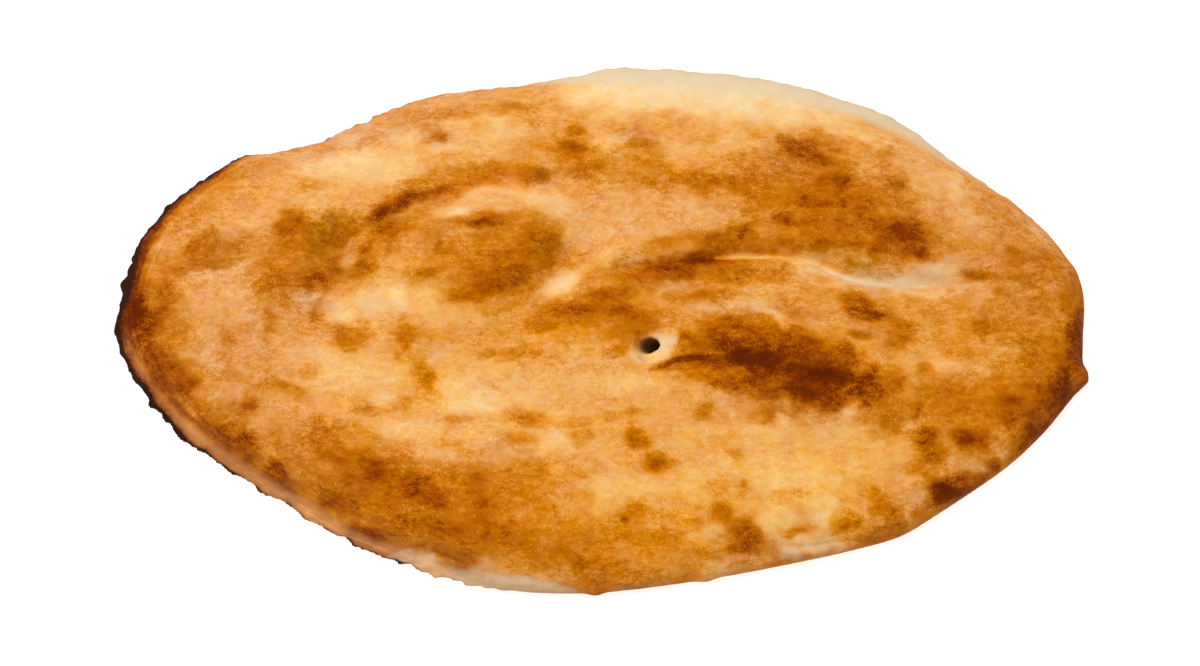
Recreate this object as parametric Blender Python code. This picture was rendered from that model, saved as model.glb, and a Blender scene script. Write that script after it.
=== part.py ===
"""An oval tandoor bread, made as one closed solid.

Frame: metres, +Z up. The origin is at the centre of the base, +X runs along the loaf to its right end
and +Y to its back edge. The loaf lies as it cools, base down. Lists of places are in millimetres.
"""

import math

import bpy
import numpy as np
from mathutils import Vector, noise

MM = 0.001

# The loaf as a whole
LENGTH = 400.0
WIDTH = 234.0
EDGE_HEIGHT = 16.0
EDGE_UNEVENNESS = 1.2
EDGE_PITCH = 60.0
MIDDLE_HEIGHT = 24.5
DOME_POWER = 2.6

# The plan outline, counter-clockwise from the right end
OUTLINE = (
    (199.6, 5), (198.8, 16), (192, 30.5), (179, 46.5), (165, 58.3), (149.5, 70.5), (127, 90), (100, 102),
    (63, 112), (10, 116.5), (-10, 113), (-38, 107.5), (-71, 103), (-89, 96.6), (-104, 88.2), (-131, 76.6),
    (-153, 72.6), (-169.2, 62), (-184, 49.2), (-195, 33), (-199, 15), (-201.5, 0), (-200.6, -11.5),
    (-196, -23), (-184.2, -38.7), (-170.3, -53.4), (-154.3, -65), (-126, -82.7), (-102.2, -96.7),
    (-80, -106), (-48.6, -116), (-9, -118.8), (36, -113.8), (78.5, -105.7), (105, -99.4), (120, -94.6),
    (132, -87.3), (160, -68.2), (175.2, -55), (186.4, -42.5), (195, -30.3), (197.2, -19), (198.4, -6),
)
CURVE_STEPS = 24

# Nubs where dough was pulled off the oven wall, the beak at the right end first: place and spread in
# degrees, then how far each stands out and how far in it starts
NUBS = (
    (-7.8, 1.25, 3.7, 12.0),
    (-91.5, 1.3, 1.4, 5.0),
    (-70.0, 1.5, 1.1, 5.0),
)

# The ragged edge round the left end, in degrees
TORN_FROM = 128.0
TORN_TO = 252.0
TORN_FADE = 16.0
CRAG_DEPTH = 0.85
CRAG_PITCH = 6.0
CRAG_ROOT = 6.0

# The thin lip at the foot of the torn wall, front left, in degrees, and its section
LIP_FROM = 186.0
LIP_TO = 248.0
LIP_FADE = 16.0
LIP_WIDTH = 2.2
LIP_TIP = 1.4
LIP_ROOT = 2.6

# The edge away from the lip is rolled: the base lifts under it
ROLL_LIFT = 4.5
ROLL_REACH = 13.0

# How far in from the rim the crust takes to rise, and how that changes round the loaf
WALL_REACH = 22.0
TORN_WALL_REACH = 11.0
TORN_WALL_SLOPE = 0.75

# Lumps and hollows: x, y, half length, half width, turn in degrees, height, squareness
LUMPS = (
    (-45, 26, 27, 19, -6, 6.5, 1.7),      # the round blister left of the middle
    (75, -26, 46, 20, -10, 6.0, 1.5),     # the scorched blister beside the vent
    (-158, 31, 13, 9, 20, 2.6, 1.2),      # a small blister near the left end
    (125, 31, 12, 8, -10, 2.4, 1.1),      # a small blister behind the fold
    (-70, -72, 62, 20, -17, 3.6, 1.2),    # the front left shoulder
    (20, -88, 70, 16, 3, 2.2, 1.2),       # the front middle shoulder
    (60, 57, 90, 24, -6, 3.4, 1.2),       # the back shoulder, right of the middle
    (-75, 70, 52, 15, 18, 3.2, 1.2),      # the back shoulder, left of the middle
    (-150, -4, 26, 34, 10, 2.4, 1.2),     # the pad at the left end
    (160, -16, 24, 34, 0, 1.6, 1.2),      # the pad at the right end
    (-119, 2, 12, 10, 10, -5.4, 1.2),     # a fingertip's hollow
    (-105, 28, 15, 9, 42, -6.6, 1.2),     # a long fingertip's hollow behind it
    (-98, 2, 24, 12, 12, -2.4, 1.1),      # the dip right of the fingertip's hollow
    (-11, 19, 18, 7, 50, -5.2, 1.2),      # the groove along the round blister's right side
    (-6, 42, 16, 9, -40, -3.4, 1.2),      # the groove behind it
    (-42, 51, 30, 7, 3, -3.6, 1.2),       # the trough between blister and back shoulder
    (114, 16, 19, 6, -8, -4.2, 1.2),      # the slope of the fold where it gapes
    (138, 11, 20, 7, 4, -2.4, 1.2),       # the shallow end of the fold
    (21, -18, 11, 9, 0, -3.0, 1.1),       # the funnel round the vent
    (-45, -45, 60, 14, -4, -2.0, 1.1),    # the pale plain in front of the middle
    (90, -66, 40, 14, 6, -1.5, 1.1),      # the pale plain at the front right
)

# Folds: the crease's line, its depth and half width, then the step up on its far side and how far back
# that step runs out
FOLDS = (
    (((-10, 9), (3, 13), (18, 17), (34, 19.5), (50, 21.5), (70, 22.5), (86, 21), (97, 15.5),
      (108, 12.5), (122, 11), (140, 11), (156, 15)), 4.6, 2.8, 3.8, 26),
    (((-104, 32), (-86, 43), (-68, 51), (-48, 56), (-26, 57), (0, 56), (28, 53)), 1.2, 3.6, 2.6, 20),
    (((18, -28), (29, -25), (41, -24), (52, -26), (64, -28)), 2.0, 1.8, 1.6, 10),
    (((80, -29), (90, -30.5), (101, -31)), 1.8, 2.0, 0.8, 8),
    (((66, -98), (80, -99), (104, -95)), 1.6, 2.2, 1.2, 9),
)
FOLD_EDGE = 1.8
FOLD_TAPER = 0.6

# The general unevenness of hand-pressed dough: pitch and height of each layer of swells
SWELLS = ((62.0, 2.2), (27.0, 1.1), (12.0, 0.5))
LAYER_GAP = 7.7

# The steam vent, a slanting hole poked into the crust
VENT_PLACE = (20.4, -16.9)
VENT_MOUTH = 4.2
VENT_FLOOR = 2.4
VENT_DEPTH = 15.0
VENT_WIDTH_RATIO = 0.8
VENT_SIDES = 20
VENT_TILT = -22.0
VENT_ABOVE = 12.0

# The ball that the loaf is shaped from, and the share of its faces that the loaf keeps
SEGMENTS = 360
RINGS = 200
KEPT_SHARE = 0.062
ROUND_OFF = 1e-6

CRUST_COLOUR = (0.64, 0.33, 0.10, 1.0)
CRUST_ROUGHNESS = 0.62


def clear_scene():
    for obj in list(bpy.data.objects):
        bpy.data.objects.remove(obj)


def smooth_curve(points, closed):
    """Points along a smooth curve through the given ones."""
    count = len(points)
    if closed:
        spans = range(count)
        knots = [Vector(points[i % count]) for i in range(-1, count + 2)]
    else:
        spans = range(count - 1)
        knots = [Vector(points[0]), *map(Vector, points), Vector(points[-1])]
    found = []
    for span in spans:
        a, b, c, d = knots[span:span + 4]
        for step in range(CURVE_STEPS):
            t = step / CURVE_STEPS
            found.append(
                b
                + (c - a) * (0.5 * t)
                + (2 * a - 5 * b + 4 * c - d) * (0.5 * t * t)
                + (3 * b - 3 * c + d - a) * (0.5 * t ** 3)
            )
    return np.array(found if closed else [*found, Vector(points[-1])])


def degrees_from(angle, place):
    """How far each angle lies from a place on the rim, in degrees, the short way round."""
    return (np.degrees(angle) - place + 180.0) % 360.0 - 180.0


def ease(share):
    share = np.clip(share, 0.0, 1.0)
    return share * share * (3.0 - 2.0 * share)


def quarter_round(share):
    """0 at the rim with an upright tangent, 1 once the wall is done."""
    return np.sqrt(1.0 - (1.0 - np.clip(share, 0.0, 1.0)) ** 2)


def share_between(angle, start, end, fade):
    """1 round the loaf between two places on the rim, easing to 0 past them."""
    half = (end - start) / 2
    return ease((half + fade / 2 - abs(degrees_from(angle, start + half))) / fade)


def torn_share(angle):
    return share_between(angle, TORN_FROM, TORN_TO, TORN_FADE)


def lip_share(angle):
    return share_between(angle, LIP_FROM, LIP_TO, LIP_FADE)


def uneven_round_rim(angle, pitch, layer):
    """Noise along the rim, about -1 to 1, with bumps about a pitch apart."""
    radius = LENGTH / 2 / pitch
    places = ((math.cos(a) * radius, math.sin(a) * radius, layer * LAYER_GAP) for a in angle)
    return np.array([2 * noise.noise(Vector(place)) for place in places])


def crags(angle):
    """The ragged edge: bites and teeth of uneven length."""
    coarse = uneven_round_rim(angle, CRAG_PITCH, layer=1)
    fine = uneven_round_rim(angle, CRAG_PITCH / 2, layer=2)
    return CRAG_DEPTH * (coarse + fine / 2) * torn_share(angle)


def rim_radius(angle):
    """The plain rim's distance from the origin, in millimetres."""
    points = smooth_curve(OUTLINE, closed=True)
    turn = np.unwrap(np.arctan2(points[:, 1], points[:, 0]))
    return np.interp(angle, turn, np.hypot(points[:, 0], points[:, 1]), period=2 * math.pi)


def nub(angle, inward, place, spread, length, root):
    return length * np.exp(-((degrees_from(angle, place) / spread) ** 2)) * ease(1 - inward / root)


def lump(x, y, centre_x, centre_y, half_length, half_width, turn, height, squareness):
    a = math.radians(turn)
    along = ((x - centre_x) * math.cos(a) + (y - centre_y) * math.sin(a)) / half_length
    across = ((y - centre_y) * math.cos(a) - (x - centre_x) * math.sin(a)) / half_width
    return height * np.exp(-((along ** 2 + across ** 2) ** squareness))


def from_line(x, y, line):
    """Each point's signed distance from a line, plus on its left, and how far along it is nearest."""
    best = np.full(len(x), np.inf)
    signed = np.zeros(len(x))
    share = np.zeros(len(x))
    spans = len(line) - 1
    for i, (start, end) in enumerate(zip(line[:-1], line[1:])):
        run = end - start
        t = ((x - start[0]) * run[0] + (y - start[1]) * run[1]) / (run @ run)
        t = np.clip(t, 0.0, 1.0)
        dx = x - start[0] - t * run[0]
        dy = y - start[1] - t * run[1]
        away = np.hypot(dx, dy)
        nearer = away < best
        side = np.sign(run[0] * dy - run[1] * dx)
        best = np.where(nearer, away, best)
        signed = np.where(nearer, away * side, signed)
        share = np.where(nearer, (i + t) / spans, share)
    return signed, share


def fold(x, y, points, depth, half_width, step, reach):
    """A crease whose far side stands higher, as where one lobe of dough rolls towards another."""
    away, share = from_line(x, y, smooth_curve(points, closed=False))
    fade = np.sin(math.pi * share) ** FOLD_TAPER
    groove = -depth * np.exp(-((away / half_width) ** 2))
    raised = step * ease(0.5 + away / (2 * FOLD_EDGE)) * np.exp(-np.maximum(away, 0) / reach)
    return fade * (groove + raised)


def swells(x, y):
    found = np.zeros(len(x))
    for layer, (pitch, height) in enumerate(SWELLS):
        places = zip(x / pitch, y / pitch)
        found += height * np.array([noise.noise(Vector((u, v, LAYER_GAP * layer))) for u, v in places])
    return found


def relief(x, y):
    """Everything that the top crust has above or below its plain dome."""
    found = swells(x, y)
    for values in LUMPS:
        found += lump(x, y, *values)
    for values in FOLDS:
        found += fold(x, y, *values)
    return found


def rim_height(angle):
    """The rim is half way up the torn lip's tip, and as high as the base lifts elsewhere."""
    lip = lip_share(angle)
    return LIP_TIP / 2 * lip + ROLL_LIFT * (1 - lip)


def top_height(x, y, angle, share, inward):
    lip = lip_share(angle)
    rim = rim_height(angle)
    lip_top = rim + (LIP_ROOT - rim) * quarter_round(inward / LIP_WIDTH) * lip
    torn = torn_share(angle)
    reach = TORN_WALL_REACH * torn + WALL_REACH * (1 - torn)
    risen = np.clip((inward - LIP_WIDTH * lip) / reach, 0.0, 1.0)
    wall = risen ** TORN_WALL_SLOPE * lip + quarter_round(risen) * (1 - lip)
    edge = EDGE_HEIGHT + EDGE_UNEVENNESS * uneven_round_rim(angle, EDGE_PITCH, layer=0)
    dome = MIDDLE_HEIGHT + (edge - MIDDLE_HEIGHT) * share ** DOME_POWER
    body = dome + relief(x, y) * ease((inward - LIP_WIDTH * lip) / WALL_REACH)
    return lip_top + (body - lip_top) * wall


def base_height(angle, inward):
    return rim_height(angle) * (1 - quarter_round(inward / ROLL_REACH))


def bread_shape(places):
    """The loaf's surface for the points of a unit ball, the upper half as crust and the lower as base."""
    angle = np.arctan2(places[:, 1], places[:, 0])
    share = np.clip(np.hypot(places[:, 0], places[:, 1]), 0.0, 1.0)
    radius = rim_radius(angle)
    inward = radius * (1 - share)
    outward = radius * share
    outward += crags(angle) * ease(1 - inward / CRAG_ROOT)
    for values in NUBS:
        outward += nub(angle, inward, *values)
    x = outward * np.cos(angle)
    y = outward * np.sin(angle)
    top = top_height(x, y, angle, share, inward)
    base = base_height(angle, inward)
    z = np.where(places[:, 2] >= -ROUND_OFF, top, base)
    return np.stack([x, y, z], axis=1)


def centre_on_base(places):
    """Moves the plan's middle to the origin and stretches it to the loaf's length and width."""
    low = places.min(axis=0)
    high = places.max(axis=0)
    size = np.array([LENGTH, WIDTH])
    places[:, :2] -= (low[:2] + high[:2]) / 2
    places[:, :2] *= size / (high[:2] - low[:2])
    return places


def crust_material():
    material = bpy.data.materials.new("baked_crust")
    material.use_nodes = True
    surface = material.node_tree.nodes["Principled BSDF"]
    surface.inputs["Base Color"].default_value = CRUST_COLOUR
    surface.inputs["Roughness"].default_value = CRUST_ROUGHNESS
    surface.inputs["Metallic"].default_value = 0.0
    material.diffuse_color = CRUST_COLOUR
    return material


def make_bread(collection):
    bpy.ops.mesh.primitive_uv_sphere_add(segments=SEGMENTS, ring_count=RINGS, radius=1.0)
    bread = bpy.context.object
    bread.name = "bread"
    bread.data.name = "bread"
    count = len(bread.data.vertices)
    ball = np.empty(count * 3)
    bread.data.vertices.foreach_get("co", ball)
    shaped = centre_on_base(bread_shape(ball.reshape(-1, 3)))
    bread.data.vertices.foreach_set("co", (shaped * MM).ravel())
    bread.data.update()
    bread.data.materials.append(crust_material())
    bread.data.shade_smooth()
    move_to(bread, collection)
    thinned = bread.modifiers.new("fewer_faces_where_flat", "DECIMATE")
    thinned.ratio = KEPT_SHARE
    return bread


def make_vent_cutter(collection, bread):
    """A tapered peg that leans a little, wider along the loaf than across it."""
    x, y = VENT_PLACE
    crust = max(v.co.z for v in bread.data.vertices if math.dist(v.co.xy / MM, VENT_PLACE) < VENT_MOUTH)
    slope = (VENT_MOUTH - VENT_FLOOR) / VENT_DEPTH
    height = VENT_DEPTH + VENT_ABOVE
    bpy.ops.mesh.primitive_cone_add(
        vertices=VENT_SIDES,
        radius1=VENT_FLOOR * MM,
        radius2=(VENT_MOUTH + slope * VENT_ABOVE) * MM,
        depth=height * MM,
        location=(x * MM, y * MM, crust + (height / 2 - VENT_DEPTH) * MM),
        rotation=(0.0, math.radians(VENT_TILT), 0.0),
        scale=(1.0, VENT_WIDTH_RATIO, 1.0),
    )
    cutter = bpy.context.object
    cutter.name = "vent_cutter"
    cutter.hide_render = True
    cutter.display_type = "WIRE"
    move_to(cutter, collection)
    return cutter


def move_to(obj, collection):
    for old in list(obj.users_collection):
        old.objects.unlink(obj)
    collection.objects.link(obj)


def new_collection(name):
    collection = bpy.data.collections.new(name)
    bpy.context.scene.collection.children.link(collection)
    return collection


def main():
    clear_scene()
    bread = make_bread(new_collection("tandoor_bread"))
    cutter = make_vent_cutter(new_collection("cutters"), bread)
    vent = bread.modifiers.new("vent", "BOOLEAN")
    vent.operation = "DIFFERENCE"
    vent.object = cutter


main()
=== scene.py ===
"""The looks of an oval tandoor bread: its fine crust, its browning and a plain pale studio.

The frame is in metres. Places and sizes on the loaf are in millimetres, and angles are in degrees.
"""

import math

import bpy
import numpy as np
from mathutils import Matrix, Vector, noise


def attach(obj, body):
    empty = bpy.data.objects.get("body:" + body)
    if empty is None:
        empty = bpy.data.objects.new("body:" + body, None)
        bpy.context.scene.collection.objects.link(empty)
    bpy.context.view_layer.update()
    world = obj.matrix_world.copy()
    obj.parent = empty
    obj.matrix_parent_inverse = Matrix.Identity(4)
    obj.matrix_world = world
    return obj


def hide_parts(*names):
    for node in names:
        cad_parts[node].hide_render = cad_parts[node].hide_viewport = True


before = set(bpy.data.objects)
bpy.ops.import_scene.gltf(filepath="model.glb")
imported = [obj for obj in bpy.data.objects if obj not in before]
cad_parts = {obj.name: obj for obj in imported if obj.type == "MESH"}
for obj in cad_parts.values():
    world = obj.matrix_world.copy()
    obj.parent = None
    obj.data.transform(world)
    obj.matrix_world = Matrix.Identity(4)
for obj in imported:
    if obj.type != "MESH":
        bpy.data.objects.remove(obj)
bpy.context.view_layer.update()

MM = 0.001

# The camera looks down on the loaf from the front
CAMERA_ELEVATION = 68.0
CAMERA_DISTANCE = 1.17
CAMERA_AIM = (0.0, -0.0026, 0.0)
SENSOR_WIDTH = 36.0
VIEW_WIDTH = 0.4956

# The studio: even light all round, one broad window lamp high at the back left, a lit white table
WORLD_LIGHT = 0.57
WINDOW_PLACE = (-0.85, 0.6, 2.6)
WINDOW_SIZE = 1.8
WINDOW_POWER = 42.0
TABLE_GLOW = 0.75
TABLE_SIZE = 6.0
TABLE_COLOUR = (0.5, 0.5, 0.5, 1.0)
WHITE = (1.0, 1.0, 1.0, 1.0)

# The crust's mesh: its pitch, how it is smoothed, less so by the rim, and the share of faces its base keeps
MERGE_DISTANCE = 1e-6
VOXEL = 1.15
SMOOTH_ROUNDS = 12
RIM_MARGIN = 1.0
RIM_KEPT = 7.0
RIM_SMOOTHING = 0.35
OUTLINE_SMOOTHING = 13
FLAT_BASE = 0.3
BASE_SHARE_KEPT = 0.6
CURVE_STEPS = 16

# The top's relief starts this high over the base, and is full this much higher
TOP_FROM = 1.0
TOP_FADE = 3.0

# The smooth noise: how far apart its layers are, and the first layer of each use
LAYER_GAP = 7.7
CRAG_LAYER = 5
STROKE_LAYER = 11
LINE_LAYER = 15
SOFT_LAYER = 18
UNDERSIDE_LAYER = 21

# The ragged edge round the left end, in degrees round the loaf, and how far in its crags reach
TORN_FROM = 128.0
TORN_TO = 240.0
TORN_FADE = 16.0
TORN_WIDTH = 4.5

# Fine relief of the crust and of the torn edge: pitch, height; crags fade out where the surface leans less
CRUST_UNEVENNESS = ((11.0, 0.35), (5.0, 0.22), (2.6, 0.14))
CRAGS = ((5.0, 0.45), (2.6, 0.42))
LEAST_LEAN = 0.3

# Creases sharper than the solid's: line, depth, half width, then the ridge beside it: offset, height, width
CREASES = (
    (((22, 18), (34, 20), (50, 21.5), (70, 22.5), (86, 21), (97, 15.5),
      (108, 12.5), (122, 11), (136, 11)), 1.0, 1.4, -2.8, 0.3, 2.0),
    (((-104, 32), (-86, 43), (-68, 51), (-48, 56)), 0.7, 1.4, 2.5, 0.3, 2.0),
    (((19, -28), (24, -26.4), (30, -25), (41, -24.3), (52, -26), (60, -27.8)), 1.5, 0.8, 1.8, 0.6, 1.3),
    (((54, -24.5), (60, -23), (66, -24)), 0.8, 0.8, 1.5, 0.3, 1.0),
    (((80, -29), (86, -29.8), (92, -30.8), (99, -31)), 1.3, 0.9, 1.8, 0.5, 1.2),
    (((66, -98), (80, -99), (104, -95)), 0.8, 0.8, -1.6, 0.4, 1.2),
    (((-163, 24), (-156, 25), (-149, 24)), 0.6, 1.0, 1.6, 0.3, 1.4),
)
CREASE_TAPER = 0.6

# Browning: 0 is raw dough, 1 is scorched
EVEN_BROWNING = 0.44
SCORCHED = 0.98

# The underside: how high its edge ends, its browning and its blotches: pitch, how much
UNDERSIDE_EDGE = 6.0
UNDERSIDE_BROWNING = 0.5
UNDERSIDE_BLOTCHES = ((24.0, 0.16), (9.0, 0.14))

# How what is painted wanders: pitch, reach; strokes wander fully from some half width up
WANDERS = ((9.0, 2.0), (3.6, 1.0))
FULL_WANDER_WIDTH = 8.0
STROKE_SQUARENESS = 1.6

# How painted lines wander, how strong they are and how much that varies, and how they taper
LINE_WANDER = (9.0, 0.7)
LINE_STRENGTH = (1.1, 0.5)
LINE_TAPER = 0.4

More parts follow.
